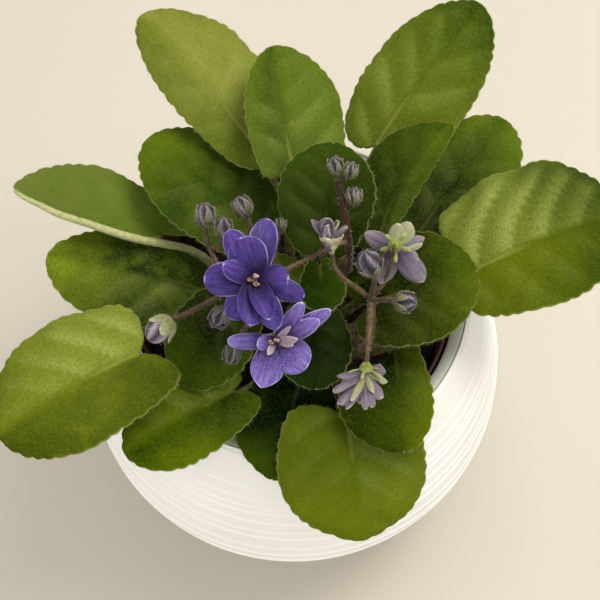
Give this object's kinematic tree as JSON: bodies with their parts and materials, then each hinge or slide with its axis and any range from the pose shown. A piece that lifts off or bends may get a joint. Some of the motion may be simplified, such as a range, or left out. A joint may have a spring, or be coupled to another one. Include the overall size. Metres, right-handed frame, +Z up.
{
  "type": "potted african violet",
  "caption": "African violet in flower: a round white pot with an inner pot, soil, a rosette of oval leaves, flower stems, double flowers and buds.",
  "frame": {"origin": "on the surface the pot stands on, under the middle of the pot", "axes": "+Z up, +X to the plant's right seen from the front, -Y to the front"},
  "size_m": [0.1856, 0.1576, 0.1748],
  "materials": {
    "pot": "matte",
    "nursery_pot": "matte",
    "soil": "matte",
    "crown": "matte",
    "leaf_light": "matte",
    "leaf": "matte",
    "leaf_dark": "matte",
    "stem": "matte",
    "stem_dark": "matte",
    "flower_stalk": "matte",
    "petal_violet": "matte",
    "petal_lilac": "matte",
    "petal_pale": "matte",
    "anther": "matte",
    "bud": "matte"
  },
  "bodies": {
    "root": {"outer_pot": "pot", "nursery_pot": "nursery_pot", "potting_soil": "soil", "crown": "crown", "leaf_back_left": "leaf_light", "leaf_back_centre": "leaf", "leaf_back_right": "leaf", "leaf_upper_right_inner": "leaf_dark", "leaf_upper_right_outer": "leaf", "leaf_right": "leaf_light", "leaf_right_inner": "leaf_dark", "leaf_front_right_inner": "leaf", "leaf_front_right": "leaf", "leaf_front": "leaf_dark", "leaf_front_left": "leaf", "leaf_left_low": "leaf_light", "leaf_left": "leaf", "leaf_left_up": "leaf", "leaf_left_back_inner": "leaf", "leaf_back_inner": "leaf_dark", "leaf_centre_small": "leaf", "leaf_centre_front": "leaf_dark", "leaf_left_inner": "leaf_dark", "leaf_centre_left": "leaf", "stem_left": "stem", "stem_back": "stem_dark", "stem_right": "stem", "flower_1_stalk": "flower_stalk", "flower_1_corolla": "petal_violet", "flower_2_stalk": "flower_stalk", "flower_2_corolla": "petal_lilac", "flower_3_stalk": "flower_stalk", "flower_3_corolla": "petal_pale", "flower_4_stalk": "flower_stalk", "flower_4_corolla": "petal_pale", "flower_5_stalk": "flower_stalk", "flower_5_corolla": "petal_pale", "flower_1_anthers": "anther", "flower_2_anthers": "anther", "bud_left_low": "bud", "bud_left_high": "bud", "bud_left_middle": "bud", "bud_left_back": "bud", "bud_left_under": "bud", "bud_left_front": "bud", "bud_left_tiny": "bud", "bud_back_top": "bud", "bud_back_right": "bud", "bud_back_side": "bud", "bud_right_high": "bud", "bud_right_side": "bud"}
  },
  "joints": []
}
